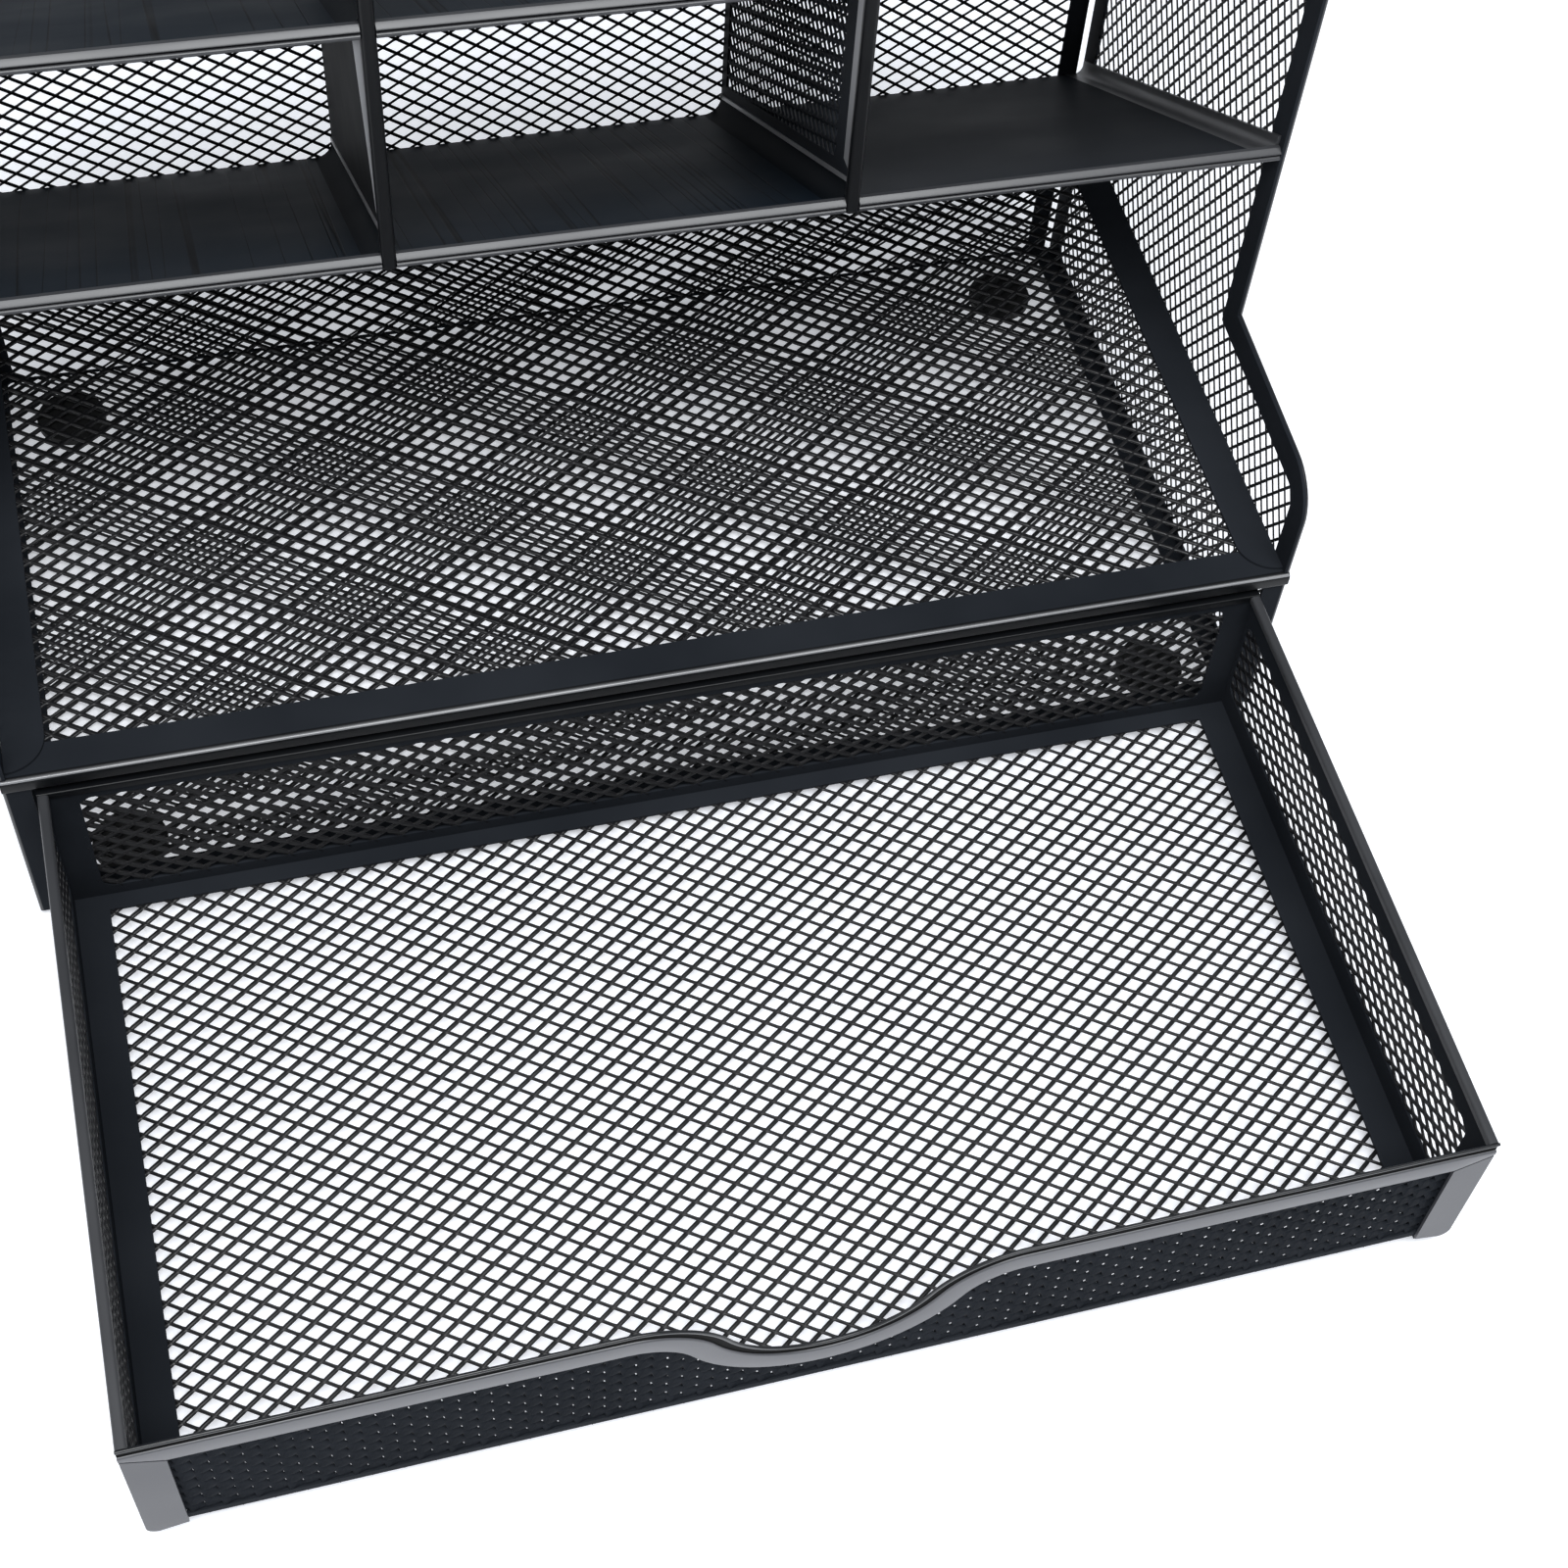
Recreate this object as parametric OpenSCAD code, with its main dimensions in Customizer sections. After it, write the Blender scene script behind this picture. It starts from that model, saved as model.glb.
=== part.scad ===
// Desk organiser of folded steel mesh: a stepped frame with a letter tray, two rows of tilted
// cubbies and a full-width drawer with a finger scoop. All sizes are in millimetres.
// +Z is up and +Y goes to the back. The origin is on the desk, under the middle of the whole
// object with its drawer pulled out. Depths are counted from the front plane of the frame.

/* [Frame] */
// Outside width of the frame
width = 330; // [320:1:345]
// Outside depth of the frame
depth = 186; // [180:1:196]
// Height of the frame above the desk
height = 286; // [280:1:300]
// Thickness of the steel sheet
sheet = 0.8; // [0.6:0.1:1]
// Radius of the rounded corners of the side panels
corner_r = 14; // [8:1:18]
// Width of the folded hem along the free edges of the side and back panels
hem_w = 4; // [3:0.5:6]
// Width of the slit between the back panel and each side panel
slit_w = 2.5; // [1:0.5:3]

/* [Tray] */
// Height of the tray's top face above the desk
tray_z = 59.6; // [59.4:0.2:64]
// Height of the folded lip along the front of the tray
tray_lip_h = 4.5; // [3:0.5:5]
// Width of the strips along the sides of the tray
strip_w = 10; // [6:1:14]
// Height of the side panels at the front of the tray
step_front_z = 92.2; // [85:0.2:96]
// Height of the side panels where they meet the shelves
step_back_z = 96.6; // [96.4:0.2:110]

/* [Shelves] */
// Distance of the shelves behind the front of the tray
shelf_setback = 60; // [50:1:70]
// Height of the front edge of the lower shelves
lower_shelf_z = 154; // [150:1:160]
// Height from the lower shelves to the upper ones
shelf_pitch = 66; // [60:1:72]
// Slope of the shelves, down towards the back, in degrees
tilt = 32.8; // [25:0.2:33]
// Width of the left column of cubbies. The other two share the rest
left_column_w = 106.6; // [90:0.2:120]
// Outer radius of the bend between a shelf and its upright side
bend_r = 6; // [4:0.5:8]
// Depth of the rolled front edges
roll = 2.4; // [2:0.2:3]
// Width of the rolled edge of the uprights between two columns
upright_roll_w = 3.4; // [3:0.2:4]
// Height of the rolled lip along the front of a shelf
shelf_lip_h = 3.4; // [3.2:0.1:5]

/* [Drawer] */
// Width of the drawer over its walls
drawer_w = 314; // [300:1:316]
// Depth of the drawer over its walls
drawer_d = 168; // [150:1:172]
// Height of the drawer's floor above the desk
drawer_z = 4.7; // [3.3:0.1:5]
// Height of the drawer's rims above the desk
drawer_top = 53.2; // [48:0.2:53.2]
// How far the drawer stands out of the frame
drawer_out = 168; // [100:1:168]
// Height of the folded band along the top of the drawer's front
band_h = 8; // [6:0.5:10]
// Width of the solid posts at the ends of the drawer's front
post_w = 10; // [8:1:14]

/* [Finger scoop] */
// Depth of the scoop in the drawer's front
scoop_depth = 27; // [20:1:30]
// Half of the scoop's width
scoop_half = 46; // [40:1:56]
// Place of the scoop's middle across the drawer
scoop_x = -4; // [-10:1:10]

/* [Feet] */
// Diameter of the round pads under the frame
pad_d = 19; // [14:1:22]
// Thickness of the pads
pad_h = 2; // [1.5:0.1:2.2]
// Distance of the pads' middles from the middle of the frame
pad_x = 141; // [120:1:145]
// Distance of the pads' middles from the front and the back of the frame
pad_inset = 18; // [14:1:30]

/* [Hidden] */

$fn = 64;
steel = "#23262b";
solid_steel = "#1b1f27";
rim_steel = "#3a3d43";
pad_rubber = "#141414";

// The frame's front plane, and the planes of its walls
front_y = (drawer_out - depth) / 2;
half_w = width / 2;
wall_out = half_w - sheet;
wall_in = wall_out - sheet;
back_out = depth - sheet;
back_in = back_out - sheet;
base_top = pad_h + sheet;
lip_bottom = tray_z - tray_lip_h;

// The step in the side panels rises at this angle
step_angle = atan((step_back_z - step_front_z) / (shelf_setback - sheet));

// The sheet of each upright stands at the right end of its column
column_w = (2 * wall_in - left_column_w) / 2;
lip_z = lower_shelf_z - shelf_lip_h;
slope_reach = depth / cos(tilt);
pitch_n = shelf_pitch * cos(tilt);

// The drawer's planes, before the frame's front plane is added
drawer_front = -drawer_out;
panel_front = drawer_front + sheet;
floor_front = panel_front + sheet;
wall_back = panel_front + drawer_d;
floor_back = wall_back - sheet;
half_drawer = drawer_w / 2;
rim_t = 2;
rim_w = 2.6;
rim_over = 0.5;
wall_top = drawer_top - rim_t;

// The scoop is a round bowl between two round shoulders of the same radius, tangent to both
scoop_angle = 2 * atan(scoop_depth / scoop_half);
scoop_r = scoop_half / sin(scoop_angle) / 2;

// ---- helpers ----

// A box between two corners, with its depths counted from the frame's front plane
module slab(x, y, z)
    translate([x[0], front_y + y[0], z[0]])
        cube([x[1] - x[0], y[1] - y[0], z[1] - z[0]]);

// A flat outline of depths and heights, made into a sheet between two widths
module upright(x)
    translate([x[0], front_y, 0])
        rotate([90, 0, 90])
            linear_extrude(x[1] - x[0])
                children();

// A flat outline of widths and heights, made into a sheet between two depths
module facing(y)
    translate([0, front_y + y[1], 0])
        rotate([90, 0, 0])
            linear_extrude(y[1] - y[0])
                children();

// The outline of a rolled edge: a bar of width w and height h with a round top and bottom
module roll_outline(w, h) {
    r = w / 2;
    translate([r, r]) circle(r);
    translate([r, h - r]) circle(r);
    translate([0, r]) square([w, h - w]);
}

// ---- side view outlines ----

// The tall part of the side, set in by g along its front and top
module tall_outline(g) {
    r = corner_r - g;
    difference() {
        translate([shelf_setback + g, pad_h])
            square([depth - shelf_setback - g, height - pad_h - g]);
        translate([shelf_setback + g, height - g])
            corner_notch(r);
    }
}

// What a rounded corner of radius r takes off a square one at the origin
module corner_notch(r)
    difference() {
        translate([-1, -r]) square([r + 1, r + 1]);
        translate([r, -r]) circle(r);
    }

// The low part of the side, beside the tray, with its gently rising top edge
module low_outline(g) {
    r = corner_r - g;
    y0 = sheet + g;
    drop = g / cos(step_angle);
    top_front = step_front_z + g * tan(step_angle) - drop;
    top_back = step_back_z - drop;
    centre_z = top_front + r * tan(step_angle) - r / cos(step_angle);
    touch_y = y0 + r - r * sin(step_angle);
    difference() {
        polygon([[y0, pad_h], [shelf_setback + g + 1, pad_h],
            [shelf_setback + g + 1, top_back + (g + 1) * tan(step_angle)], [y0, top_front]]);
        difference() {
            polygon([[y0 - 1, centre_z], [touch_y, centre_z],
                [touch_y, top_front + r], [y0 - 1, top_front + r]]);
            translate([y0 + r, centre_z]) circle(r);
        }
    }
}

module side_outline(g) {
    tall_outline(g);
    low_outline(g);
}

// ---- frame ----

module base_panel()
    color(steel)
        slab([-wall_in, wall_in], [sheet, back_in], [pad_h, base_top]);

module back_panel()
    color(steel)
        slab([slit_w - wall_in, wall_in - slit_w], [back_in, back_out], [pad_h, height]);

module back_hem()
    color(rim_steel)
        slab([slit_w - wall_in, wall_in - slit_w], [back_out, depth], [height - hem_w, height]);

// side is -1 on the left and 1 on the right
module side_panel(side)
    color(steel)
        upright(side > 0 ? [wall_in, wall_out] : [-wall_out, -wall_in])
            side_outline(0);

// The edge of the side panel is folded back on its outer face
module side_hem(side)
    color(rim_steel)
        upright(side > 0 ? [wall_out, half_w] : [-half_w, -wall_out])
            difference() {
                side_outline(0);
                side_outline(hem_w);
            }

// The front edge of the side panel turns in below the tray and leaves room for the drawer
module front_post(side) {
    inner = half_drawer + 1.5;
    color(steel)
        slab(side > 0 ? [inner, wall_in] : [-wall_in, -inner], [sheet, 2 * sheet],
            [base_top, lip_bottom]);
}

module pad(side, at_back)
    color(pad_rubber)
        translate([side * pad_x, front_y + (at_back ? depth - pad_inset : pad_inset), 0])
            cylinder(h = pad_h, d = pad_d);

// ---- tray ----

module tray_panel()
    color(steel)
        slab([-wall_in, wall_in], [sheet, back_in], [tray_z - sheet, tray_z]);

// The front of the tray folds down and turns back under itself
module tray_front_lip() {
    return_d = roll;
    color(rim_steel) {
        slab([-half_w, half_w], [0, sheet], [lip_bottom, tray_z]);
        slab([-wall_in, wall_in], [sheet, return_d], [lip_bottom, lip_bottom + sheet]);
    }
}

// A flat strip over each side edge of the tray, with its free front corner rounded off
module tray_strip(side)
    color(solid_steel)
        translate([side * wall_in, front_y + roll, tray_z])
            mirror([side > 0 ? 1 : 0, 0, 0])
                linear_extrude(sheet)
                    difference() {
                        square([strip_w, back_in - roll]);
                        translate([strip_w, 0]) mirror([1, 0, 0]) strip_corner(strip_w);
                    }

// What the rounded corner of radius r takes off a strip whose corner is at the origin
module strip_corner(r)
    difference() {
        translate([-1, -1]) square([r + 1, r + 1]);
        translate([r, r]) circle(r);
    }

// ---- shelves ----

// The ends of a column's shelf: column is 0 on the left to 2 on the right
function column_start(column) =
    column == 0 ? -wall_in : left_column_w - wall_in + (column - 1) * column_w;
function column_end(column) = left_column_w - wall_in + column * column_w;

// An outline of widths and heights above the slope, swept along it and cut off upright
module on_slope(level, behind, top) {
    slope_z = lower_shelf_z + level * shelf_pitch;
    intersection() {
        translate([0, front_y + shelf_setback, slope_z])
            rotate([-tilt, 0, 0])
                translate([0, slope_reach, 0])
                    rotate([90, 0, 0])
                        linear_extrude(slope_reach + height)
                            children();
        slab([-half_w, half_w], [shelf_setback + behind, back_in], [base_top, top]);
    }
}

// The flat of a shelf. It stops where the bend at its right end begins
module shelf(level, column)
    color(solid_steel)
        on_slope(level, roll, height)
            translate([column_start(column), -sheet])
                square([column_end(column) - column_start(column) - bend_r, sheet]);

// The rolled lip along the front of a shelf
module shelf_lip(level, column) {
    start = column_start(column) + (column == 0 ? 0 : (upright_roll_w - sheet) / 2);
    end = column_end(column) - (column == 2 ? 0 : (upright_roll_w + sheet) / 2);
    color(rim_steel)
        upright([start, end])
            translate([shelf_setback, lip_z + level * shelf_pitch])
                roll_outline(roll, shelf_lip_h);
}

// The quarter bend from the flat of a shelf into the sheet that stands at its right end
module bend_outline(column)
    translate([column_end(column) - bend_r, bend_r - sheet])
        intersection() {
            difference() {
                circle(bend_r);
                circle(bend_r - sheet);
            }
            translate([0, -bend_r]) square(bend_r);
        }

// The upright part of the sheet above the bend, up to a height over the slope
module upright_outline(column, top)
    translate([column_end(column) - sheet, bend_r - sheet])
        square([sheet, top - bend_r + sheet]);

// The lower upright reaches up under the bend of the shelf above it
module lower_divider(column)
    color(steel)
        on_slope(0, roll, height) {
            bend_outline(column);
            upright_outline(column, pitch_n + bend_r / 4);
        }

// The upper upright goes on to the rolled edge along the top of the frame
module upper_divider(column)
    color(steel)
        intersection() {
            on_slope(1, roll, height - roll) {
                bend_outline(column);
                upright_outline(column, 2 * height);
            }
            upright([-half_w, half_w]) tall_outline(roll);
        }

// At the right side panel the bend ends in a low flange, which is welded to the panel
module flange(level)
    color(solid_steel)
        on_slope(level, roll, height) {
            bend_outline(2);
            upright_outline(2, bend_r + 3);
        }

// The rolled edge down the front and along the top of the uprights between two columns
module divider_roll(column) {
    middle = column_end(column) - sheet / 2;
    color(rim_steel)
        upright([middle - upright_roll_w / 2, middle + upright_roll_w / 2])
            intersection() {
                difference() {
                    tall_outline(0);
                    tall_outline(roll);
                }
                translate([0, lip_z]) square([back_in, height]);
            }
}

// ---- drawer ----

module drawer_floor()
    color(steel)
        slab([sheet - half_drawer, half_drawer - sheet], [floor_front, floor_back],
            [drawer_z, drawer_z + sheet]);

module drawer_side_wall(side)
    color(steel)
        slab(side > 0 ? [half_drawer - sheet, half_drawer] : [-half_drawer, sheet - half_drawer],
            [floor_front, floor_back], [drawer_z, wall_top]);

module drawer_back_wall()
    color(steel)
        slab([-half_drawer, half_drawer], [floor_back, wall_back], [drawer_z, wall_top]);

// What the scoop takes off, for an edge that runs g below the drawer's top edge
module scoop_cut(g) {
    bowl_z = drawer_top - scoop_depth + scoop_r;
    shoulder_z = drawer_top - scoop_r;
    bowl_r = scoop_r + g;
    touch_x = bowl_r * sin(scoop_angle);
    touch_z = bowl_z - bowl_r * cos(scoop_angle);
    difference() {
        union() {
            translate([scoop_x, bowl_z]) circle(bowl_r, $fn = 128);
            polygon([[scoop_x - touch_x, touch_z], [scoop_x + touch_x, touch_z],
                [scoop_x + scoop_half, drawer_top + 1], [scoop_x - scoop_half, drawer_top + 1]]);
        }
        for (side = [-1, 1])
            translate([scoop_x + side * scoop_half, shoulder_z]) circle(scoop_r - g, $fn = 128);
    }
}

// The drawer's front from below, up to an edge that runs g below its top edge
module front_outline(g, half, bottom)
    difference() {
        translate([-half, bottom]) square([2 * half, drawer_top - g - bottom]);
        scoop_cut(g);
    }

module drawer_front_panel()
    color(steel)
        facing([panel_front, floor_front])
            front_outline(rim_t, half_drawer, drawer_z);

// A bead over the top edge of the front, with a band that hangs in front of the panel
module drawer_front_rim() {
    half = half_drawer + rim_over;
    color(rim_steel) {
        facing([drawer_front, panel_front])
            difference() {
                front_outline(0, half, drawer_z);
                front_outline(band_h, half + 1, 0);
            }
        facing([panel_front, drawer_front + rim_w])
            difference() {
                front_outline(0, half, drawer_z);
                front_outline(rim_t, half + 1, 0);
            }
    }
}

module drawer_side_rim(side) {
    outer = half_drawer + rim_over;
    inner = outer - rim_w;
    color(rim_steel)
        slab(side > 0 ? [inner, outer] : [-outer, -inner],
            [drawer_front + rim_w, floor_back - rim_over], [wall_top, drawer_top]);
}

module drawer_back_rim() {
    half = half_drawer + rim_over;
    color(rim_steel)
        slab([-half, half], [floor_back - rim_over, wall_back + rim_over], [wall_top, drawer_top]);
}

// The flat post at each end of the drawer's front, under the band
module drawer_post(side)
    color(rim_steel)
        slab(side > 0 ? [half_drawer - post_w, half_drawer] : [-half_drawer, post_w - half_drawer],
            [drawer_front, panel_front], [drawer_z, drawer_top - band_h]);

base_panel();
back_panel();
side_panel(-1);  // left_side_panel
side_panel(1);  // right_side_panel
side_hem(-1);  // left_side_hem
side_hem(1);  // right_side_hem
back_hem();
front_post(-1);  // left_front_post
front_post(1);  // right_front_post
tray_panel();
tray_front_lip();
tray_strip(-1);  // tray_left_strip
tray_strip(1);  // tray_right_strip
shelf(0, 0);  // lower_shelf_left
shelf(0, 1);  // lower_shelf_middle
shelf(0, 2);  // lower_shelf_right
shelf(1, 0);  // upper_shelf_left
shelf(1, 1);  // upper_shelf_middle
shelf(1, 2);  // upper_shelf_right
shelf_lip(0, 0);  // lower_lip_left
shelf_lip(0, 1);  // lower_lip_middle
shelf_lip(0, 2);  // lower_lip_right
shelf_lip(1, 0);  // upper_lip_left
shelf_lip(1, 1);  // upper_lip_middle
shelf_lip(1, 2);  // upper_lip_right
lower_divider(0);  // lower_divider_left
lower_divider(1);  // lower_divider_right
upper_divider(0);  // upper_divider_left
upper_divider(1);  // upper_divider_right
divider_roll(0);  // divider_roll_left
divider_roll(1);  // divider_roll_right
flange(0);  // lower_flange
flange(1);  // upper_flange
pad(-1, false);  // pad_front_left
pad(1, false);  // pad_front_right
pad(-1, true);  // pad_back_left
pad(1, true);  // pad_back_right
drawer_floor();
drawer_side_wall(-1);  // drawer_left_wall
drawer_side_wall(1);  // drawer_right_wall
drawer_back_wall();
drawer_front_panel();
drawer_front_rim();
drawer_side_rim(-1);  // drawer_left_rim
drawer_side_rim(1);  // drawer_right_rim
drawer_back_rim();
drawer_post(-1);  // drawer_left_post
drawer_post(1);  // drawer_right_post
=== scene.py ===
"""Looks of the steel mesh desk organizer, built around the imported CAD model.

Every mesh panel of the frame and the drawer is a plain plate in CAD. Here each one is replaced by
its solid border and real expanded metal in its window, but for the left pair of dividers, which
stay plain. The shapes' lengths are millimetres, and their depths count from the frame's front
plane; put() turns them into the row's metres. The lights and the floor are in metres."""

import math

import bpy
import numpy as np
from mathutils import Matrix, Vector
from mathutils.geometry import tessellate_polygon


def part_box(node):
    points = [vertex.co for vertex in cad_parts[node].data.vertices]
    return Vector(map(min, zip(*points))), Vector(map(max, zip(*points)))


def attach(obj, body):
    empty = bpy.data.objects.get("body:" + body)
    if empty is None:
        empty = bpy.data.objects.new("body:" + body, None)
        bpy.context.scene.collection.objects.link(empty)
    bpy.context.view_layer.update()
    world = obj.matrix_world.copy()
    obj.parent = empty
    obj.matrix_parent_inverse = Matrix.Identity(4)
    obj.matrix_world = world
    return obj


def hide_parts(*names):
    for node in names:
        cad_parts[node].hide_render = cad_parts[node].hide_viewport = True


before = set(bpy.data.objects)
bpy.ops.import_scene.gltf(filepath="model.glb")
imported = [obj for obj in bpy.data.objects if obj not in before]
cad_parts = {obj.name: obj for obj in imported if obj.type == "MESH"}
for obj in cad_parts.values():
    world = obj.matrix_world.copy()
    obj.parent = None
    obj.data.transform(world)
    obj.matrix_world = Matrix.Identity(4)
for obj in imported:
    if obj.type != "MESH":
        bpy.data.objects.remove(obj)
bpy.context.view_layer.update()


def box(node):
    """A CAD node's low and high corners in this file's millimetres."""
    lo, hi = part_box(node)
    shift = np.array((0.0, FRONT, 0.0))
    return np.array(lo) * 1000 - shift, np.array(hi) * 1000 - shift


# The frame's front plane is where its front lip starts
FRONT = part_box("tray_front_lip")[0].y * 1000
LIP_BOX = box("tray_front_lip")
TRAY = box("tray_panel")
BASE = box("base_panel")
BACK = box("back_panel")
SIDE = box("right_side_panel")
SHELF = box("lower_shelf_left")
FLOOR = box("drawer_floor")
FRONT_PANEL = box("drawer_front_panel")
FRONT_RIM = box("drawer_front_rim")
BACK_WALL = box("drawer_back_wall")
SHEET = TRAY[1][2] - TRAY[0][2]
TOP = BACK[1][2]
SETBACK = box("lower_lip_left")[0][1]
ROLL = box("lower_lip_left")[1][1] - SETBACK
SHELF_Z = box("lower_lip_left")[1][2]
PITCH = box("upper_lip_left")[1][2] - SHELF_Z
# The shelves' slope: the shelf's height without the sheet's own, which needs only a rough slope
ROUGH_TILT = math.radians(32.8)
SHELF_DROP = SHELF[1][2] - SHELF[0][2] - SHEET / math.cos(ROUGH_TILT)
TILT = math.atan(SHELF_DROP / (BACK[0][1] - SETBACK - ROLL))
DRAWER_FRONT = FRONT_RIM[0][1]
DRAWER_TOP = FRONT_RIM[1][2]

# Expanded metal: an opening's width and height, how far the metal reaches past its window's edge,
# the shortest arm of a knot, and the shortest cut strand worth drawing
CELL = (7.13, 4.96)
PAST_EDGE = 0.45
MIN_REACH = 0.95
MIN_TIP = 0.15

# Corner radius of the side panels and the dividers
BIG_R = 14.0


# ---- making meshes ----


def put(points):
    """Millimetres in the row's axes, with depths from the frame's front, into metres."""
    p = np.asarray(points, float) + (0.0, FRONT, 0.0)
    return p / 1000


def volume(points, faces):
    """Signed volume inside the faces: below zero where they face inwards."""
    total = 0.0
    for face in faces:
        a = points[face[0]]
        for i in range(1, len(face) - 1):
            total += float(np.dot(a, np.cross(points[face[i]], points[face[i + 1]])))
    return total


def add_piece(name, mesh, body, nodes, material):
    """A mesh as a piece, which rides on a body and replaces the given CAD nodes."""
    piece = bpy.data.objects.new(name, mesh)
    bpy.context.scene.collection.objects.link(piece)
    mesh.materials.append(material)
    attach(piece, body)
    if nodes:
        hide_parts(*nodes)


def make(name, points, faces, body, nodes, material, smooth=None):
    """A piece from points in millimetres and faces. Where smooth is an angle, edges that turn less
    than it are shaded smooth."""
    points = np.asarray(points, float)
    middle = points.mean(0)
    if volume(points - middle, faces) < 0:
        faces = [tuple(reversed(face)) for face in faces]
    mesh = bpy.data.meshes.new(name)
    mesh.from_pydata(put(points).tolist(), [], faces)
    mesh.update()
    if smooth is not None:
        mesh.shade_smooth()
        mesh.set_sharp_from_angle(angle=math.radians(smooth))
    add_piece(name, mesh, body, nodes, material)


def loft(name, rings, body, nodes, material, smooth=40):
    """A closed bar through rings of points, with flat ends."""
    count = len(rings[0])
    faces = [tuple(range(count))[::-1], tuple(range((len(rings) - 1) * count, len(rings) * count))]
    for i in range(len(rings) - 1):
        for k in range(count):
            a, b = i * count + k, i * count + (k + 1) % count
            faces.append((a, b, b + count, a + count))
    make(name, np.concatenate(rings), faces, body, nodes, material, smooth)


def arc(cx, cy, r, a0, a1, n=8):
    """Points on an arc from a0 to a1, in degrees."""
    turns = [math.radians(a0 + (a1 - a0) * i / n) for i in range(n + 1)]
    return [(cx + r * math.cos(turn), cy + r * math.sin(turn)) for turn in turns]


def round_box(x0, x1, y0, y1, r, n=6):
    """A rectangle with rounded corners, counterclockwise."""
    r = max(r, 0.01)
    return (
        arc(x1 - r, y0 + r, r, -90, 0, n)
        + arc(x1 - r, y1 - r, r, 0, 90, n)
        + arc(x0 + r, y1 - r, r, 90, 180, n)
        + arc(x0 + r, y0 + r, r, 180, 270, n)
    )


def area(poly):
    """Signed area of an outline: above zero where it runs counterclockwise."""
    p = np.asarray(poly)
    q = np.roll(p, -1, 0)
    return 0.5 * float(np.sum(p[:, 0] * q[:, 1] - q[:, 0] * p[:, 1]))


def ccw(poly):
    return list(poly) if area(poly) > 0 else list(poly)[::-1]


def grow(poly, d):
    """The outline moved out by d, by its corners' mean normals."""
    p = np.asarray(ccw(poly), float)
    p = p[np.hypot(*(p - np.roll(p, 1, 0)).T) > 1e-6]
    b = np.roll(p, -1, 0) - p
    a = p - np.roll(p, 1, 0)
    na = np.stack((a[:, 1], -a[:, 0]), 1) / np.hypot(*a.T)[:, None]
    nb = np.stack((b[:, 1], -b[:, 0]), 1) / np.hypot(*b.T)[:, None]
    m = na + nb
    m /= np.maximum(np.hypot(*m.T)[:, None], 1e-9)
    return p + m * d / np.maximum(np.sum(m * na, 1), 0.4)[:, None]


def inside(poly, pts):
    """Whether each point lies in the outline."""
    p = np.asarray(poly, float)
    x, y = pts[:, 0], pts[:, 1]
    hit = np.zeros(len(pts), bool)
    for (x0, y0), (x1, y1) in zip(p, np.roll(p, -1, 0)):
        if y0 == y1:
            continue
        cross = (y0 > y) != (y1 > y)
        hit ^= cross & (x < (x1 - x0) * (y - y0) / (y1 - y0) + x0)
    return hit


def plate(outline, window, t):
    """Points (u, v, w) and faces of a sheet between w=0 and w=t, with a window cut through."""
    loops = [ccw(outline)]
    if window is not None:
        loops.append(ccw(window)[::-1])
    flat = [p for loop in loops for p in loop]
    tris = tessellate_polygon([[Vector((x, y, 0)) for x, y in loop] for loop in loops])
    n = len(flat)
    points = [(x, y, t) for x, y in flat] + [(x, y, 0.0) for x, y in flat]
    faces = []
    for a, b, c in tris:
        (ax, ay), (bx, by), (cx, cy) = flat[a], flat[b], flat[c]
        turn = (bx - ax) * (cy - ay) - (by - ay) * (cx - ax)
        if abs(turn) < 1e-9:
            continue
        if turn < 0:
            b, c = c, b
        faces += [(a, b, c), (a + n, c + n, b + n)]
    start = 0
    for loop in loops:
        k = len(loop)
        for i in range(k):
            a, b = start + i, start + (i + 1) % k
            faces.append((b, a, a + n, b + n))
        start += k
    return np.array(points), faces


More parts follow.
